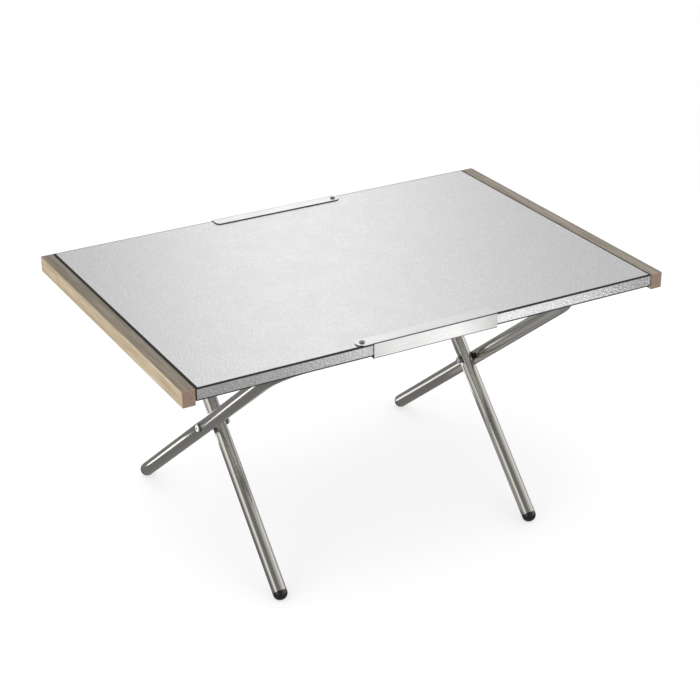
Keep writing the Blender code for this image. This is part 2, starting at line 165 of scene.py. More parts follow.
# Camera, fitted to the table's corners in the photograph, its turn in degrees, lens and sensor in mm
CAMERA_PLACE = (-0.8984, -1.6161, 1.1111)
CAMERA_TURN = (64.05, 0.32, -29.30)
CAMERA_LENS = 89.3
CAMERA_SENSOR = 36

# Studio: plain levels, where 1 is white
FLOOR_RADIUS = 3.0
FLOOR_COLOUR = 0.93
FLOOR_SEEN = 0.42
FLOOR_LIFT = 0.62
FLOOR_FADE = (0.85, 1.5)
ROOM_PLAIN = 0.85
# What metal sees of the room, as (how far to the right, level)
ROOM_FRONT = (
    (-1.0, 0.85),
    (-0.985, 0.9),
    (-0.955, 1.9),
    (-0.90, 1.35),
    (-0.83, 0.45),
    (-0.65, 0.32),
    (-0.40, 0.27),
    (-0.10, 0.26),
    (0.20, 0.56),
    (0.45, 0.76),
    (0.65, 0.92),
    (0.80, 1.15),
    (0.93, 1.5),
    (1.0, 0.85),
)
ROOM_BACK = (
    (-1.0, 0.85),
    (-0.6, 1.3),
    (-0.2, 0.7),
    (0.18, 0.42),
    (0.33, 0.62),
    (0.43, 1.40),
    (0.50, 0.68),
    (0.60, 0.48),
    (1.0, 0.9),
)
ROOM_BACK_STARTS = (0.0, 0.35)
ROOM_CEILING = 0.16
ROOM_CEILING_STARTS = (0.62, 0.88)

# Softboxes, as (name, place, aim, size, power)
SOFTBOXES = (
    ("left_softbox", (-2.2, -0.8, 1.2), (0, 0, 0.2), (1.6, 1.4), 14),
    ("front_softbox", (0.6, -2.6, 1.6), (0, 0, 0.2), (2.0, 1.4), 14),
    ("top_softbox", (-0.4, 0.2, 2.6), (0, 0, 0), (2.4, 2.4), 22),
)


def rectangle(left, front, right, back):
    return ((left, front), (right, front), (right, back), (left, back))


# The dark cards are painted shadow in what metal mirrors: they stand in for the table's shadow and the dim
# floor; the bright ones give the highlights on the tubes and the skirt
# Cards on the floor that only metal sees, as (name, corners, height, level)
CARDS = (
    ("under_card", rectangle(-1.2, -0.30, 1.2, 1.5), 0.002, 0.27),
    ("streak_card_left", ((-0.215, 0.206), (-0.215, 0.222), (-0.44, 0.42), (-0.44, 0.245)), 0.003, 2.5),
    ("streak_card_right", ((0.18, 0.20), (0.15, 0.265), (-0.12, 0.60), (-0.05, 0.27)), 0.003, 1.7),
    ("mid_card", ((-0.10, -0.12), (0.24, -0.12), (0.24, 0.05), (0.08, 0.15), (-0.10, 0.16)), 0.003, 0.5),
    ("front_card_bright", rectangle(0.21, -1.2, 0.575, -0.45), 0.003, 1.06),
    ("front_card_white", rectangle(0.465, -1.1, 0.57, -0.5), 0.004, 2.1),
    ("front_card_left", rectangle(-0.8, -1.4, 0.20, -0.45), 0.002, 0.26),
    ("front_card_mid", rectangle(0.58, -1.4, 0.64, -0.45), 0.002, 0.45),
    ("front_card_right", rectangle(0.645, -1.4, 1.3, -0.35), 0.002, 0.08),
)


# Modelling


def pick(piece):
    bpy.ops.object.select_all(action="DESELECT")
    piece.select_set(True)
    bpy.context.view_layer.objects.active = piece


def open_for_edit(piece):
    pick(piece)
    bpy.ops.object.mode_set(mode="EDIT")


def close_edit():
    bpy.ops.object.mode_set(mode="OBJECT")


def choose(piece, kind, wanted):
    """In edit mode, select just the VERT, EDGE or FACE parts that pass the test."""
    bpy.ops.mesh.select_mode(type=kind)
    bpy.ops.mesh.select_all(action="DESELECT")
    shape = bmesh.from_edit_mesh(piece.data)
    parts = {"VERT": shape.verts, "EDGE": shape.edges, "FACE": shape.faces}
    for part in parts[kind]:
        part.select_set(wanted(part))
    bmesh.update_edit_mesh(piece.data)


def flat_at(height):
    """A test for edges or faces that lie flat at one height."""
    return lambda part: all(abs(v.co.z - height) < SAME_HEIGHT for v in part.verts)


def round_rings(piece, heights, offset, steps):
    """In edit mode, round the edges that lie flat at these heights."""
    choose(piece, "EDGE", lambda edge: any(flat_at(height)(edge) for height in heights))
    bpy.ops.mesh.bevel(offset=offset, segments=steps, profile=0.5, affect="EDGES")


def extrude(x, y, z):
    """In edit mode, draw what is selected out by one move."""
    bpy.ops.mesh.extrude_region_move(TRANSFORM_OT_translate={"value": (x, y, z)})


def step(narrower, move):
    """In edit mode, inset the chosen lid and draw what is left of it along Z."""
    bpy.ops.mesh.inset(thickness=narrower)
    extrude(0, 0, move)


def make_sound():
    """In edit mode, join points that coincide and turn every face outward."""
    bpy.ops.mesh.select_all(action="SELECT")
    bpy.ops.mesh.remove_doubles(threshold=SAME_POINT)
    bpy.ops.mesh.normals_make_consistent(inside=False)


def apply_place():
    bpy.ops.object.transform_apply(location=True, rotation=True, scale=True)


def apply_modifier(piece, kind, **settings):
    """Add a modifier, set it and apply it at once."""
    change = piece.modifiers.new(kind.lower(), kind)
    for key, value in settings.items():
        setattr(change, key, value)
    pick(piece)
    bpy.ops.object.modifier_apply(modifier=change.name)


def add_cylinder(name, radius, low, high, sides):
    bpy.ops.mesh.primitive_cylinder_add(
        vertices=sides, radius=radius, depth=high - low, location=(0, 0, (low + high) / 2)
    )
    piece = bpy.context.object
    piece.name = name
    apply_place()
    return piece


def use_cutter(piece, cutter, operation="DIFFERENCE"):
    """Apply a Boolean with a helper and take the helper away."""
    apply_modifier(piece, "BOOLEAN", operation=operation, solver="EXACT", object=cutter)
    bpy.data.objects.remove(cutter, do_unlink=True)


def drill(piece, radius, reach, sides, place):
    """Cut a round hole with its clearance along the Z axis of a place, as far as reach both ways."""
    cutter = add_cylinder("drill", radius + HOLE_GAP, -reach, reach, sides)
    settle(cutter, place)
    use_cutter(piece, cutter)


def smooth(piece, angle=EDGE_ANGLE):
    """Shade smooth, but for edges sharper than an angle in degrees."""
    pick(piece)
    bpy.ops.object.shade_smooth_by_angle(angle=math.radians(angle))


def settle(piece, place):
    """Move a piece from where it was modelled to its place in the table and apply the move."""
    bpy.context.view_layer.update()
    piece.matrix_world = place @ piece.matrix_world
    pick(piece)
    apply_place()


def give(piece, finish, body, node):
    """Dress a piece, let it ride on its body and hide what it stands for."""
    piece.data.materials.clear()
    piece.data.materials.append(finish)
    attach(piece, body)
    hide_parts(node)


# Shader nodes


def add_node(tree, kind, inputs=(), **settings):
    """Add a shader node, set its options, and set or link its inputs by name or number."""
    made = tree.nodes.new(kind)
    for key, value in settings.items():
        setattr(made, key, value)
    for key, value in dict(inputs).items():
        if isinstance(value, bpy.types.NodeSocket):
            tree.links.new(value, made.inputs[key])
        else:
            made.inputs[key].default_value = value
    return made


def linear(red, green, blue):
    """A colour as read from a screen, in 0 to 255, as the shader wants it."""
    def one(value):
        share = value / 255
        return share / 12.92 if share <= 0.04045 else ((share + 0.055) / 1.055) ** 2.4
    return (one(red), one(green), one(blue), 1)


def darker(colour, share):
    """A colour at a share of its brightness."""
    return tuple(level * share for level in colour[:3]) + (1,)


class Finish:
    """A Principled material with short names for adding the nodes that feed it."""

    def __init__(self, name, metallic=0.0, roughness=0.5):
        self.made = bpy.data.materials.new(name)
        self.made.use_nodes = True
        self.tree = self.made.node_tree
        self.shader = self.tree.nodes["Principled BSDF"]
        self.where = add_node(self.tree, "ShaderNodeTexCoord")
        self.place = self.where.outputs["Object"]
        self.set("Metallic", metallic)
        self.set("Roughness", roughness)

    def node(self, kind, inputs=(), **settings):
        return add_node(self.tree, kind, inputs, **settings)

    def set(self, socket, value):
        if isinstance(value, bpy.types.NodeSocket):
            self.tree.links.new(value, self.shader.inputs[socket])
        else:
            self.shader.inputs[socket].default_value = value

    def axes(self, source="Object"):
        """The X, Y and Z of a piece's coordinates, or of its Normal."""
        return list(self.node("ShaderNodeSeparateXYZ", {0: self.where.outputs[source]}).outputs)

    def stretched(self, scale, source="Object"):
        """Coordinates scaled by a different amount on each axis."""
        inputs = {"Vector": self.where.outputs[source], "Scale": scale}
        return self.node("ShaderNodeMapping", inputs).outputs["Vector"]

    def noise(self, vector, scale, detail=2.0, roughness=0.5, distortion=0.0):
        inputs = {
            "Vector": vector,
            "Scale": scale,
            "Detail": detail,
            "Roughness": roughness,
            "Distortion": distortion,
        }
        return self.node("ShaderNodeTexNoise", inputs).outputs["Fac"]

    def span(self, value, low, high, to_low, to_high):
        """Map one range to another, clamped at both ends."""
        inputs = {"Value": value, "From Min": low, "From Max": high, "To Min": to_low, "To Max": to_high}
        return self.node("ShaderNodeMapRange", inputs).outputs["Result"]

    def spread(self, noise, to_low, to_high):
        """Map the usual range of a noise to another."""
        return self.span(noise, NOISE_LOW, NOISE_HIGH, to_low, to_high)

    def inside(self, value, face, band, full=1.0):
        """Rises to full as a value comes near a face, between two distances inside it."""
        return self.span(value, face - band[0], face - band[1], 0.0, full)

    def over(self, value, face, band, full=1.0):
        """Full on a face and a little above it, gone further up."""
        return self.span(value, face + band[0], face + band[1], full, 0.0)

    def upright(self, low, high):
        """1 on upright faces, 0 on level ones."""
        return self.span(self.math("ABSOLUTE", self.axes("Normal")[2]), low, high, 1.0, 0.0)

    def math(self, operation, first, *others):
        """One operation on a value, or on several in turn."""
        for other in others or (0.0,):
            first = self.node("ShaderNodeMath", {0: first, 1: other}, operation=operation).outputs[0]
        return first

    def plus(self, *values):
        return self.math("ADD", *values)

    def times(self, *values):
        return self.math("MULTIPLY", *values)

    def most(self, *values):
        return self.math("MAXIMUM", *values)

    def mix(self, share, first, second, blend="MIX"):
        inputs = {0: share, 6: first, 7: second}
        return self.node("ShaderNodeMix", inputs, data_type="RGBA", blend_type=blend).outputs[2]

    def bump(self, height, strength, distance):
        """Give the skin a relief."""
        inputs = {"Height": height, "Strength": strength, "Distance": distance}
        self.set("Normal", self.node("ShaderNodeBump", inputs).outputs["Normal"])

    def metal_with_painted_shade(self, colour, rough, painted_shade, shade_colour, rougher):
        """Bare metal that turns into a dark, rougher skin where shade is painted on it."""
        self.set("Base Color", self.mix(painted_shade, colour, shade_colour))
        self.set("Metallic", self.span(painted_shade, 0.0, 1.0, 1.0, 0.0))
        self.set("Roughness", self.plus(rough, self.times(painted_shade, rougher)))


# Finishes


def embossed_steel():
    """Stainless sheet rolled with a fine pebble, with painted shade in the pebble's hollows on the skirts
    and dark along the bends.
    """
    finish = Finish("embossed_steel", metallic=1.0)
    upright = finish.upright(0.1, 0.4)
    drift = finish.noise(finish.place, 45, detail=1)
    cells = {"Vector": finish.place, "Scale": 520.0, "Randomness": 1.0}
    pebble = finish.node("ShaderNodeTexVoronoi", cells, feature="SMOOTH_F1").outputs["Distance"]
    grain = finish.noise(finish.place, 850, distortion=0.3)
    relief = finish.plus(finish.times(pebble, 0.8), grain)
    speckle = finish.span(relief, 0.45, 1.15, 0.0, 1.0)
    colour = finish.mix(speckle, linear(243, 242, 243), linear(232, 231, 232))
    # Painted shade in the pebble's hollows, on upright faces only
    hollow_shade = finish.times(finish.span(relief, 0.7, 1.05, 0.0, 0.16), upright)
    colour = finish.mix(hollow_shade, colour, linear(140, 139, 141))
    rough = finish.plus(finish.spread(drift, 0.24, 0.27), finish.spread(grain, 0.0, 0.04))
    # Painted shade: dark, dull lines along the folds, the hem and the cut corners
    finish.metal_with_painted_shade(colour, rough, fold_shade(finish), linear(34, 32, 31), 0.5)
    finish.bump(relief, finish.plus(finish.times(upright, 0.10), 0.30), 0.0005)
    return finish.made


def fold_shade(finish):
    """1 on the folds and cut edges of the top sheet, where dark, dull lines of painted shade go."""
    x, y, z = finish.axes()
    along, across = finish.math("ABSOLUTE", x), finish.math("ABSOLUTE", y)
    ends = finish.inside(along, PANEL_HALF_LENGTH, END_FOLD)
    sides = finish.inside(across, PANEL_HALF_DEPTH, SIDE_FOLD)
    folds = finish.times(finish.most(ends, sides), finish.inside(z, TABLE_HEIGHT, TOP_FOLD))
    cut = finish.inside(along, PANEL_HALF_LENGTH, CORNER_CUT)
    corner = finish.times(cut, finish.inside(across, PANEL_HALF_DEPTH, SKIRT_SKIN))
    return finish.most(folds, finish.over(z, HEM, HEM_LINE), corner)


def brushed_steel(name, base, is_latch=False):
    """Plain stainless sheet with fine brush lines along its length."""
    finish = Finish(name, metallic=1.0)
    lines = finish.noise(finish.stretched((12, 900, 900)), 1.0, detail=3, roughness=0.6)
    cloud = finish.noise(finish.place, 25)
    colour = finish.mix(finish.spread(lines, 0.0, 0.3), base, darker(base, 0.85))
    rough = finish.plus(finish.spread(cloud, 0.22, 0.28), finish.spread(lines, 0.0, 0.08))
    if is_latch:
        # Painted shade: the outer flange darker towards the latch's free end
        colour = finish.mix(latch_end_shade(finish), colour, darker(base, END_SHADE_SHARE))
        # Painted shade lines along the latch's cut ends, strip rim, folds and bottom
        finish.metal_with_painted_shade(colour, rough, latch_edge_shade(finish), linear(46, 44, 43), 0.4)
    else:
        finish.set("Base Color", colour)
        finish.set("Roughness", rough)
    finish.bump(lines, 0.12, 0.0002)
    return finish.made


def latch_edge_shade(finish):
    """1 where shade is painted on a latch: its cut ends, the rim of its strip, its folds and its bottom
    line.
    """
    y, z = finish.axes()[1:]
    across = finish.math("ABSOLUTE", y)
    ends = finish.span(finish.math("ABSOLUTE", finish.axes("Normal")[0]), 0.85, 0.95, 0.0, 1.0)
    above = finish.span(z, TABLE_HEIGHT, TABLE_HEIGHT + LATCH_ABOVE, 0.0, 1.0)
    inward = finish.span(across, PANEL_HALF_DEPTH - LATCH_RIM, PANEL_HALF_DEPTH, 1.0, 0.0)
    rim = finish.times(finish.upright(0.2, 0.35), inward, above)
    low = finish.over(z, LATCH_BOTTOM, LATCH_HEM_LINE, full=0.9)
    outward = finish.inside(across, PANEL_HALF_DEPTH, LATCH_FOLD)
    behind = finish.inside(y, PANEL_HALF_DEPTH, BACK_LATCH_FOLD, full=0.6)
    fold = finish.times(finish.most(outward, behind), above)
    return finish.most(ends, rim, low, fold)


def latch_end_shade(finish):
    """Rises to 1 on the outer flange towards a latch's free end, which takes less of the light; that shade
    is painted.
    """
    x, y = finish.axes()[:2]
    along = finish.times(x, finish.math("SIGN", y), -1.0)
    rise = finish.span(along, END_SHADE_STARTS, LATCH_FREE_END, 0.0, 1.0)
    return finish.times(rise, finish.upright(0.2, 0.35))


def drawn_tube():
    """Stainless tube, polished lengthwise, so its fine lines follow the bends."""
    finish = Finish("drawn_tube_steel", metallic=1.0)
    lines = finish.noise(finish.stretched((7, 60, 1), "UV"), 1.0, detail=4, roughness=0.75)
    cloud = finish.noise(finish.place, 30)
    shade = finish.span(lines, 0.35, 0.65, 0.0, 1.0)
    finish.set("Base Color", finish.mix(shade, linear(202, 200, 194), linear(162, 159, 151)))
    rough = finish.plus(finish.spread(cloud, 0.10, 0.14), finish.spread(lines, 0.0, 0.07))
    finish.set("Roughness", rough)
    finish.bump(lines, 0.12, 0.0002)
    return finish.made


def handling_marks(finish):
    return finish.noise(finish.place, 900, detail=3, roughness=0.6)


def bright_fastener(name, base, roughness):
    """Turned or pressed stainless with a trace of handling marks."""
    finish = Finish(name, metallic=1.0)
    marks = handling_marks(finish)
    worn = finish.span(marks, 0.35, 0.7, 0.0, 0.4)
    finish.set("Base Color", finish.mix(worn, base, darker(base, 0.7)))
    finish.set("Roughness", finish.spread(marks, roughness, roughness + 0.1))
    finish.bump(marks, 0.1, 0.0001)
    return finish.made


def fastener_with_painted_shade(name, hollow, edge):
    """Bright steel with painted shade: dark within one distance of the pivot's middle line and dark beyond
    another.
    """
    finish = Finish(name, metallic=1.0)
    marks = handling_marks(finish)
    y, z = finish.axes()[1:]
    level, rise = finish.math("SUBTRACT", y, PIVOT_Y), finish.math("SUBTRACT", z, PIVOT_HEIGHT)
    reach = finish.math("SQRT", finish.plus(finish.times(level, level), finish.times(rise, rise)))
    # Painted shade in the socket or bore and round the rim
    socket = finish.span(reach, hollow, hollow + HOLLOW_FADE, 1.0, 0.0)
    rim = finish.span(reach, edge, edge + RIM_FADE, 0.0, 0.9)
    worn = finish.span(marks, 0.35, 0.7, 0.0, 0.5)
    colour = finish.mix(worn, linear(232, 231, 228), linear(190, 188, 184))
    rough = finish.spread(marks, 0.14, 0.24)
    finish.metal_with_painted_shade(colour, rough, finish.most(socket, rim), linear(44, 42, 40), 0.4)
    finish.bump(marks, 0.1, 0.0001)
    return finish.made


def rail_wood():
    """Pale hardwood: long grain on four sides, painted shade on the greyer, darker top, ring figure on the
    sawn ends.
    """
    finish = Finish("rail_wood")
    normal = finish.axes("Normal")
    upward = finish.span(normal[2], 0.4, 0.9, 0.0, 1.0)
    endward = finish.span(finish.math("ABSOLUTE", normal[1]), 0.6, 0.9, 0.0, 1.0)
    grain = finish.noise(finish.stretched((700, 22, 700)), 1.0, 5, 0.62, 0.4)
    bands = finish.noise(finish.stretched((160, 5, 160)), 1.0, 3, 0.5, 0.8)
    pores = finish.noise(finish.stretched((2600, 90, 2600)), 1.0)
    rings = finish.noise(finish.stretched((900, 1, 260)), 1.0, detail=3, distortion=1.2)
    striped = finish.spread(bands, 0.0, 1.0)
    side = finish.mix(striped, linear(208, 192, 164), linear(176, 156, 127))
    side = finish.mix(finish.span(grain, 0.42, 0.72, 0.0, 0.75), side, linear(140, 114, 84))
    # The top is a painted-shade copy of the wood, greyer and darker than the sides
    top = finish.mix(striped, linear(160, 153, 141), linear(126, 116, 102))
    top = finish.mix(finish.span(grain, 0.42, 0.75, 0.0, 0.7), top, linear(92, 82, 70))
    # The left rail's top is darker than the right's
    is_right = finish.span(finish.axes()[0], -0.1, 0.1, 0.0, 1.0)
    tone = finish.mix(is_right, (0.72, 0.70, 0.66, 1), (0.88, 0.89, 0.90, 1))
    top = finish.mix(1.0, top, tone, "MULTIPLY")
    end = finish.mix(finish.spread(rings, 0.0, 1.0), linear(148, 124, 109), linear(118, 95, 82))
    colour = finish.mix(endward, finish.mix(upward, side, top), end)
    dark_pores = finish.span(pores, 0.62, 0.75, 0.0, 0.35)
    finish.set("Base Color", finish.mix(dark_pores, colour, linear(96, 76, 58)))
    finish.set("Roughness", finish.spread(grain, 0.50, 0.62))
    finish.bump(finish.math("SUBTRACT", grain, finish.times(dark_pores, 0.8)), 0.25, 0.0003)
    return finish.made


def black_rubber():
    """Moulded black rubber with a low sheen."""
    finish = Finish("foot_rubber")
    skin = finish.noise(finish.place, 1400)
    colour = finish.mix(finish.spread(skin, 0.0, 1.0), linear(7, 7, 8), linear(17, 17, 18))
    finish.set("Base Color", colour)
    finish.set("Roughness", finish.spread(skin, 0.12, 0.24))
    finish.set("Coat Weight", 0.4)
    finish.set("Coat Roughness", 0.06)
    finish.bump(skin, 0.08, 0.0001)
    return finish.made


def black_nylon():
    """Matt black spacer plastic."""
    finish = Finish("spacer_nylon", roughness=0.55)
    skin = finish.noise(finish.place, 1100)
    colour = finish.mix(finish.spread(skin, 0.0, 1.0), linear(38, 38, 38), linear(58, 58, 57))
    finish.set("Base Color", colour)
    finish.bump(skin, 0.1, 0.0001)
    return finish.made


# Top panel


def rail_screws():
    return [f"rail_screw_{end}_{row}" for end in ("left", "right") for row in ("front", "middle", "back")]


def make_top_sheet(finish):
    """A shallow pan of one sheet, open below, its four folds rounded, drilled for rivets and screws."""
    bpy.ops.object.select_all(action="DESELECT")
    bpy.ops.mesh.primitive_cube_add(size=1, location=(0, 0, TABLE_HEIGHT - SKIRT_DEPTH / 2))
    sheet = bpy.context.object
    sheet.name = "top_panel_sheet"
    sheet.scale = (2 * PANEL_HALF_LENGTH, 2 * PANEL_HALF_DEPTH, SKIRT_DEPTH)
    apply_place()
    open_for_edit(sheet)
    choose(sheet, "FACE", flat_at(HEM))
    bpy.ops.mesh.delete(type="FACE")
    round_rings(sheet, [TABLE_HEIGHT], SHEET_BEND, SHEET_BEND_STEPS)
    make_sound()
    close_edit()
    apply_modifier(sheet, "SOLIDIFY", thickness=SHEET, offset=-1, use_even_offset=True)
    sideways = Matrix.Rotation(math.pi / 2, 4, "Y")
    holes = [(name, RIVET_RADIUS, Matrix()) for name in ("front_latch_rivet", "back_latch_rivet")]
    holes += [(name, SCREW_RADIUS, sideways) for name in rail_screws()]
    for name, radius, turn in holes:
        low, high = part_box(name)
        middle = Matrix.Translation((low + high) / 2)
        drill(sheet, radius, SHEET_DRILL_REACH, BORE_SIDES, middle @ turn)
    smooth(sheet)
    apply_modifier(sheet, "WEIGHTED_NORMAL", weight=100, keep_sharp=True)
    give(sheet, finish, "tabletop", "top_panel")


# Leg frames


class LegFrame:
    """The drawing of one U of tube, bar on the X axis and legs along +Y, and its place in the table."""

    def __init__(self, label, leg_x, bar_y, seats_face, foot_row):
        self.label = label
        self.body = f"{label}_legs"
        self.leg_x = leg_x
        self.seats_face = seats_face
        self.foot_row = foot_row
        drop, reach = BAR_HEIGHT - PIVOT_HEIGHT, abs(PIVOT_Y - bar_y)
        self.slope = math.atan2(drop, reach)
        self.pivot = math.hypot(drop, reach)
        leans_back = bar_y < PIVOT_Y
        tilt = -self.slope if leans_back else self.slope - math.pi
        self.place = Matrix.Translation((0, bar_y, BAR_HEIGHT)) @ Matrix.Rotation(tilt, 4, "X")
        self.leg_end = (BAR_HEIGHT - self.foot_height()) / math.sin(self.slope)

    def foot_height(self):
        """How high the middle of an open tube end lies when its cap stands on the ground."""
        lip = (SEAT_GAP + CAP_LIP) * math.sin(self.slope)
        return lip + (TUBE_RADIUS - CAP_ROUND) * math.cos(self.slope) + CAP_ROUND


OUTER = LegFrame("outer", OUTER_LEG_X, FRONT_BAR_Y, 1, "back")
INNER = LegFrame("inner", INNER_LEG_X, BACK_BAR_Y, -1, "front")


def mark_tube_length(piece, leg_x):
    """A UV map with the distance along the tube and the turn round it."""
    corner = leg_x - TUBE_BEND
    quarter = TUBE_BEND * math.pi / 2
    layer = piece.data.uv_layers.new(name="along")
    for loop in piece.data.loops:
        x, y, z = piece.data.vertices[loop.vertex_index].co
        side = abs(x) - corner
        if y > TUBE_BEND:
            along, across = corner + quarter + y - TUBE_BEND, abs(x) - leg_x
        elif side > 0:
            along = corner + TUBE_BEND * math.atan2(side, TUBE_BEND - y)
            across = math.hypot(side, TUBE_BEND - y) - TUBE_BEND
        else:
            along, across = abs(x), -y
        round_tube = math.atan2(z, across) / math.tau
        layer.data[loop.index].uv = (math.copysign(along, x), abs(round_tube))


def press_seats(tube, leg):
    """In edit mode, flatten the wall of both legs where a bolt head or a nut sits on it."""
    level = leg.leg_x + leg.seats_face * (TUBE_RADIUS - SEAT_PRESS)
    for side in (-1, 1):

        def on_seat(vert):
            out = side * vert.co.x
            near = out > 0 and abs(vert.co.y - leg.pivot) < SEAT_HALF_LENGTH + SAME_HEIGHT
            return near and leg.seats_face * (out - level) > 0

        choose(tube, "VERT", on_seat)
        bpy.ops.transform.resize(value=(0, 1, 1), center_override=(side * level, 0, 0))


def draw_leg(stops):
    """In edit mode, draw the open ring along Y through these stops."""
    for start, stop in zip(stops, stops[1:]):
        extrude(0, stop - start, 0)


def draw_bend(x):
    """In edit mode, draw the open ring a quarter turn about a point at this X."""
    centre = (x, TUBE_BEND, 0)
    bpy.ops.mesh.spin(steps=BEND_STEPS, angle=-math.pi / 2, center=centre, axis=(0, 0, 1))


def make_leg_tube(leg, finish):
    """Draw a ring up the left leg, round the bend, along the bar, round and down again."""
    corner = leg.leg_x - TUBE_BEND
    ramp = SEAT_HALF_LENGTH + SEAT_RAMP
    seat_stops = [leg.pivot + shift for shift in (ramp, SEAT_HALF_LENGTH, -SEAT_HALF_LENGTH, -ramp)]
    stops = [leg.leg_end, *seat_stops, TUBE_BEND]
    bpy.ops.object.select_all(action="DESELECT")
    bpy.ops.mesh.primitive_circle_add(
        vertices=TUBE_SIDES,
        radius=TUBE_RADIUS,
        fill_type="NOTHING",
        location=(-leg.leg_x, leg.leg_end, 0),
        rotation=(math.pi / 2, 0, 0),
    )
    tube = bpy.context.object
    tube.name = f"{leg.label}_leg_tube"
    apply_place()
    open_for_edit(tube)
    bpy.ops.mesh.select_all(action="SELECT")
    draw_leg(stops)
    draw_bend(-corner)
    extrude(2 * corner, 0, 0)
    draw_bend(corner)
    draw_leg(stops[::-1])
    make_sound()
    press_seats(tube, leg)
    close_edit()
    apply_modifier(tube, "SOLIDIFY", thickness=TUBE_WALL, offset=-1)
    across = Matrix.Rotation(math.pi / 2, 4, "Y") @ Matrix.Rotation(math.pi / DRILL_SIDES, 4, "Z")
    for side in (-1, 1):
        crossing = Matrix.Translation((side * leg.leg_x, leg.pivot, 0))
        drill(tube, BOLT_RADIUS, TUBE_DRILL_REACH, DRILL_SIDES, crossing @ across)
    smooth(tube)
    mark_tube_length(tube, leg.leg_x)
    settle(tube, leg.place)
    give(tube, finish, leg.body, f"{leg.label}_leg_frame")


def make_foot_cap(leg, label, side, finish):
    """A round-nosed plug: dome outside, stepped hollow stem inside the tube."""
    node = f"foot_cap_{leg.foot_row}_{label}"
    head_end = SEAT_GAP + CAP_LIP + CAP_ROUND
    stem = TUBE_RADIUS - TUBE_WALL - HOLE_GAP
    cap = add_cylinder(f"{node}_dome", TUBE_RADIUS, SEAT_GAP, head_end, TUBE_SIDES)
    open_for_edit(cap)
    round_rings(cap, [head_end], CAP_ROUND, CAP_ROUND_STEPS)
    choose(cap, "FACE", flat_at(SEAT_GAP))
    step(TUBE_RADIUS - stem, -SEAT_GAP - CAP_PLUG)
    step(stem - CAP_BORE_RADIUS, CAP_BORE_DEPTH)
    close_edit()
    smooth(cap, DOME_ANGLE)
    foot = Matrix.Translation((side * leg.leg_x, leg.leg_end, 0)) @ Matrix.Rotation(-math.pi / 2, 4, "X")
    settle(cap, leg.place @ foot)
    give(cap, finish, leg.body, node)


# Pivots

BOLT_SEAT_X = OUTER_LEG_X + TUBE_RADIUS - SEAT_PRESS + SEAT_GAP
NUT_SEAT_X = INNER_LEG_X - TUBE_RADIUS + SEAT_PRESS - SEAT_GAP
SPACER_X = OUTER_LEG_X - TUBE_RADIUS - BETWEEN_TUBES / 2


def pivot_place(side, x):
    """From a piece turned about Z, its outer end up, to the crossing on one side of the table."""
    turn = Matrix.Rotation(side * math.pi / 2, 4, "Y")
    lean = Matrix.Rotation(-OUTER.slope, 4, "X")
    return Matrix.Translation((side * x, PIVOT_Y, PIVOT_HEIGHT)) @ lean @ turn


def make_pivot_bolt(label, side, finish):
    """A button head with a six-sided socket, on a plain shank."""
    node = f"pivot_bolt_{label}"
    top = BOLT_HEAD_HEIGHT
    shank_end = BOLT_SEAT_X - NUT_SEAT_X + NUT_THREAD_DEPTH - SEAT_GAP
    bolt = add_cylinder(f"{node}_turned", BOLT_HEAD_RADIUS, 0, top, TURNED_SIDES)
    open_for_edit(bolt)
    round_rings(bolt, [top], BOLT_HEAD_BEVEL, HEAD_STEPS)
    choose(bolt, "FACE", flat_at(0))
    step(BOLT_HEAD_RADIUS - BOLT_RADIUS, -shank_end)
    round_rings(bolt, [-shank_end], BOLT_END_BEVEL, 2)
    close_edit()
    socket_radius = BOLT_SOCKET / math.sqrt(3)
    use_cutter(bolt, add_cylinder("socket", socket_radius, top - BOLT_SOCKET_DEPTH, top + CUT_THROUGH, 6))
    smooth(bolt)
    settle(bolt, pivot_place(side, BOLT_SEAT_X))
    give(bolt, finish, "outer_legs", node)


def make_pivot_nut(label, side, finish):
    """A six-sided body with a chamfered seat and a domed end."""
    node = f"pivot_nut_{label}"
    corner = NUT_ACROSS / math.sqrt(3)
    nut = add_cylinder(f"{node}_domed", corner, -NUT_BODY, 0, 6)
    chamfer = add_cylinder("chamfer", corner * NUT_BEVEL_REACH, -NUT_BODY, 0, TURNED_SIDES)
    open_for_edit(chamfer)
    round_rings(chamfer, [0, -NUT_BODY], NUT_BEVEL, 3)
    close_edit()
    use_cutter(nut, chamfer, "INTERSECT")
    bpy.ops.object.select_all(action="DESELECT")
    bpy.ops.mesh.primitive_uv_sphere_add(
        segments=DOME_SIDES, ring_count=DOME_SIDES // 2, radius=1, location=(0, 0, -NUT_BODY)
    )
    dome = bpy.context.object
    dome.scale = (NUT_DOME_RADIUS, NUT_DOME_RADIUS, NUT_DOME)
    apply_place()
    use_cutter(nut, dome, "UNION")
    bore_radius = BOLT_RADIUS + HOLE_GAP
    use_cutter(nut, add_cylinder("bore", bore_radius, -NUT_THREAD_DEPTH, CUT_THROUGH, BORE_SIDES))
    smooth(nut)
    settle(nut, pivot_place(side, NUT_SEAT_X))
    give(nut, finish, "outer_legs", node)


def make_pivot_spacer(label, side, finish):
    """A thin washer between the crossing tubes."""
    node = f"pivot_spacer_{label}"
    half = BETWEEN_TUBES / 2 - SEAT_GAP
    spacer = add_cylinder(f"{node}_ring", SPACER_RADIUS, -half, half, TURNED_SIDES)
    open_for_edit(spacer)
    round_rings(spacer, [half, -half], SPACER_BEVEL, 2)
    close_edit()
    drill(spacer, BOLT_RADIUS, SPACER_DRILL_REACH, BORE_SIDES, Matrix())
    smooth(spacer)
    settle(spacer, pivot_place(side, SPACER_X))
    give(spacer, finish, "outer_legs", node)


# Latch rivets


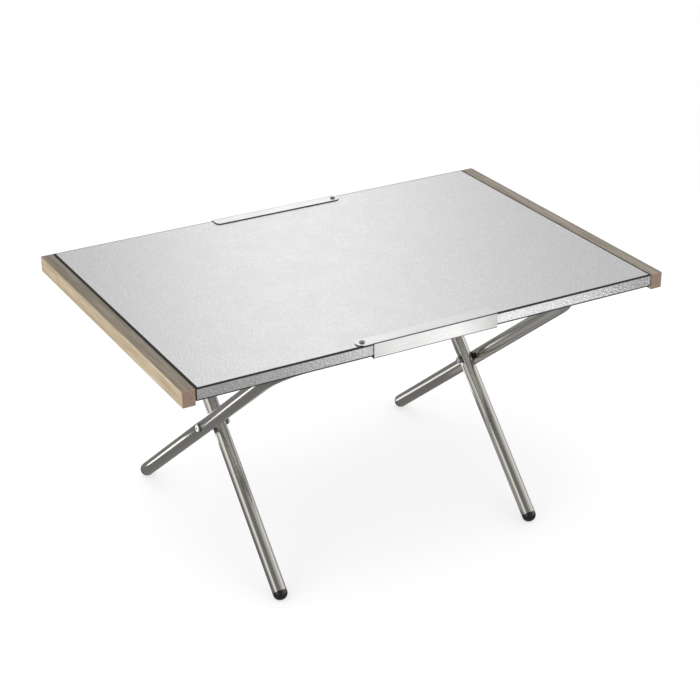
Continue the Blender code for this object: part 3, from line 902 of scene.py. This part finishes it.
def make_latch_rivet(node, finish):
    """A low domed head over the latch, its shank peened flush under the sheet."""
    low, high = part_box(node)
    top = RIVET_SEAT + RIVET_HEAD_HEIGHT
    rivet = add_cylinder(f"{node}_domed", RIVET_HEAD_RADIUS, RIVET_SEAT, top, TURNED_SIDES)
    open_for_edit(rivet)
    round_rings(rivet, [top], RIVET_HEAD_HEIGHT * RIVET_CROWN, HEAD_STEPS)
    choose(rivet, "FACE", flat_at(RIVET_SEAT))
    step(RIVET_HEAD_RADIUS - RIVET_RADIUS, -RIVET_SEAT - SHEET)
    close_edit()
    smooth(rivet, DOME_ANGLE)
    middle = (low + high) / 2
    settle(rivet, Matrix.Translation((middle.x, middle.y, TABLE_HEIGHT)))
    give(rivet, finish, "tabletop", node)


# Build


def dress_nodes(finish, names):
    """Give CAD nodes that stay as they are a finer material."""
    for name in names:
        nodes[name].data.materials.clear()
        nodes[name].data.materials.append(finish)


def build_table():
    make_top_sheet(embossed_steel())
    hooks = [f"{kind}_{end}" for kind in ("front_bar_clip", "back_bar_hook") for end in ("left", "right")]
    latch_steel = brushed_steel("latch_steel", linear(246, 245, 244), is_latch=True)
    dress_nodes(rail_wood(), ["left_rail", "right_rail"])
    dress_nodes(latch_steel, ["front_latch", "back_latch"])
    dress_nodes(brushed_steel("hook_steel", linear(215, 213, 210)), hooks)
    dress_nodes(bright_fastener("fastener_steel", linear(206, 204, 200), 0.16), rail_screws())

    tube, rubber, nylon = drawn_tube(), black_rubber(), black_nylon()
    bolt = fastener_with_painted_shade("bolt_steel", BOLT_SOCKET / 2, BOLT_HEAD_RADIUS - BOLT_RIM_SHADE)
    nut = fastener_with_painted_shade("nut_steel", BOLT_RADIUS - NUT_BORE_LIP, NUT_DOME_RADIUS)
    for leg in (OUTER, INNER):
        make_leg_tube(leg, tube)
    for side, label in ((-1, "left"), (1, "right")):
        for leg in (OUTER, INNER):
            make_foot_cap(leg, label, side, rubber)
        make_pivot_bolt(label, side, bolt)
        make_pivot_nut(label, side, nut)
        make_pivot_spacer(label, side, nylon)

    rivet_steel = bright_fastener("rivet_steel", linear(150, 148, 146), 0.25)
    for node in ("front_latch_rivet", "back_latch_rivet"):
        make_latch_rivet(node, rivet_steel)


# Studio


def add_to_scene(name, data):
    thing = bpy.data.objects.new(name, data)
    bpy.context.scene.collection.objects.link(thing)
    return thing


def add_camera():
    lens = bpy.data.cameras.new("photo_camera")
    lens.lens = CAMERA_LENS
    lens.sensor_width = CAMERA_SENSOR
    camera = add_to_scene("photo_camera", lens)
    camera.location = CAMERA_PLACE
    camera.rotation_euler = [math.radians(angle) for angle in CAMERA_TURN]
    bpy.context.scene.camera = camera


def add_softbox(name, place, aim, size, power):
    """A large soft light that metal doesn't mirror."""
    light = bpy.data.lights.new(name, "AREA")
    light.shape = "RECTANGLE"
    light.size, light.size_y = size
    light.energy = power
    lamp = add_to_scene(name, light)
    lamp.location = place
    lamp.rotation_euler = (Vector(aim) - Vector(place)).to_track_quat("-Z", "Y").to_euler()
    lamp.visible_glossy = False


def add_floor():
    """White paper underfoot that keeps the soft shadow and fades into the white room."""
    bpy.ops.object.select_all(action="DESELECT")
    bpy.ops.mesh.primitive_circle_add(vertices=96, radius=FLOOR_RADIUS, fill_type="NGON")
    floor = bpy.context.object
    floor.name = "studio_floor"
    paper = Finish("white_paper", roughness=0.9)
    path = paper.node("ShaderNodeLightPath").outputs
    seen = paper.most(path["Is Camera Ray"], path["Is Glossy Ray"], path["Is Transmission Ray"])
    shade = paper.span(seen, 0, 1, FLOOR_COLOUR, FLOOR_SEEN)
    paper.set("Base Color", paper.mix(1.0, (1, 1, 1, 1), shade, "MULTIPLY"))
    paper.set("Specular IOR Level", 0.0)
    paper.set("Emission Color", (1, 1, 1, 1))
    paper.set("Emission Strength", paper.times(seen, FLOOR_LIFT))
    reach = paper.node("ShaderNodeVectorMath", {0: paper.place}, operation="LENGTH")
    fade = paper.span(reach.outputs["Value"], FLOOR_FADE[0], FLOOR_FADE[1], 0.0, 1.0)
    below = paper.node("ShaderNodeNewGeometry").outputs["Backfacing"]
    clear = paper.node("ShaderNodeBsdfTransparent").outputs[0]
    surfaces = {0: paper.most(fade, below), 1: paper.shader.outputs[0], 2: clear}
    blend = paper.node("ShaderNodeMixShader", surfaces)
    paper.tree.links.new(blend.outputs[0], paper.tree.nodes["Material Output"].inputs["Surface"])
    floor.data.materials.append(paper.made)


def add_card(name, corners, height, level):
    """A flat card on the floor that only the metal sees, for the light and dark streaks of a tube."""
    mesh = bpy.data.meshes.new(name)
    mesh.from_pydata([(x, y, height) for x, y in corners], [], [range(len(corners))])
    card = add_to_scene(name, mesh)
    paper = Finish(name, roughness=0.9)
    paper.set("Base Color", (0, 0, 0, 1))
    paper.set("Specular IOR Level", 0.0)
    paper.set("Emission Color", (1, 1, 1, 1))
    paper.set("Emission Strength", level)
    card.data.materials.append(paper.made)
    card.visible_camera = False
    card.visible_diffuse = False
    card.visible_transmission = False
    card.visible_shadow = False


def room_side(tree, across, stops):
    """A level that changes from left to right through these stops."""
    share = add_node(tree, "ShaderNodeMapRange", {"Value": across, "From Min": -1.0})
    ramp = add_node(tree, "ShaderNodeValToRGB", {0: share.outputs[0]})
    elements = ramp.color_ramp.elements
    while len(elements) < len(stops):
        elements.new(0.5)
    for i, (place, level) in enumerate(stops):
        elements[i].position = (place + 1) / 2
        elements[i].color = (level, level, level, 1)
    return ramp.outputs[0]


def add_room():
    """White to the camera, evenly bright to matt surfaces; metal sees its bright and dark sides."""
    room = bpy.data.worlds.new("studio_room")
    room.use_nodes = True
    bpy.context.scene.world = room
    tree = room.node_tree
    background = tree.nodes["Background"]
    background.inputs["Color"].default_value = (1, 1, 1, 1)

    def soft_step(value, low, high):
        limits = {"Value": value, "From Min": low, "From Max": high}
        return add_node(tree, "ShaderNodeMapRange", limits, interpolation_type="SMOOTHSTEP").outputs[0]

    def blend(share, first, second):
        inputs = {0: share, 2: first, 3: second}
        return add_node(tree, "ShaderNodeMix", inputs, data_type="FLOAT").outputs[0]

    direction = add_node(tree, "ShaderNodeTexCoord").outputs[0]
    across, away, up = add_node(tree, "ShaderNodeSeparateXYZ", {0: direction}).outputs
    front, back = room_side(tree, across, ROOM_FRONT), room_side(tree, across, ROOM_BACK)
    back = blend(soft_step(up, *ROOM_CEILING_STARTS), back, ROOM_CEILING)
    metal_sees = blend(soft_step(away, *ROOM_BACK_STARTS), front, back)
    path = add_node(tree, "ShaderNodeLightPath").outputs
    seen = blend(path["Is Glossy Ray"], ROOM_PLAIN, metal_sees)
    shown = blend(path["Is Camera Ray"], seen, 1.0)
    tree.links.new(shown, background.inputs["Strength"])


def build_studio():
    add_camera()
    add_floor()
    for card in CARDS:
        add_card(*card)
    add_room()
    for softbox in SOFTBOXES:
        add_softbox(*softbox)
    bpy.context.scene.view_settings.view_transform = "Standard"


build_table()
build_studio()
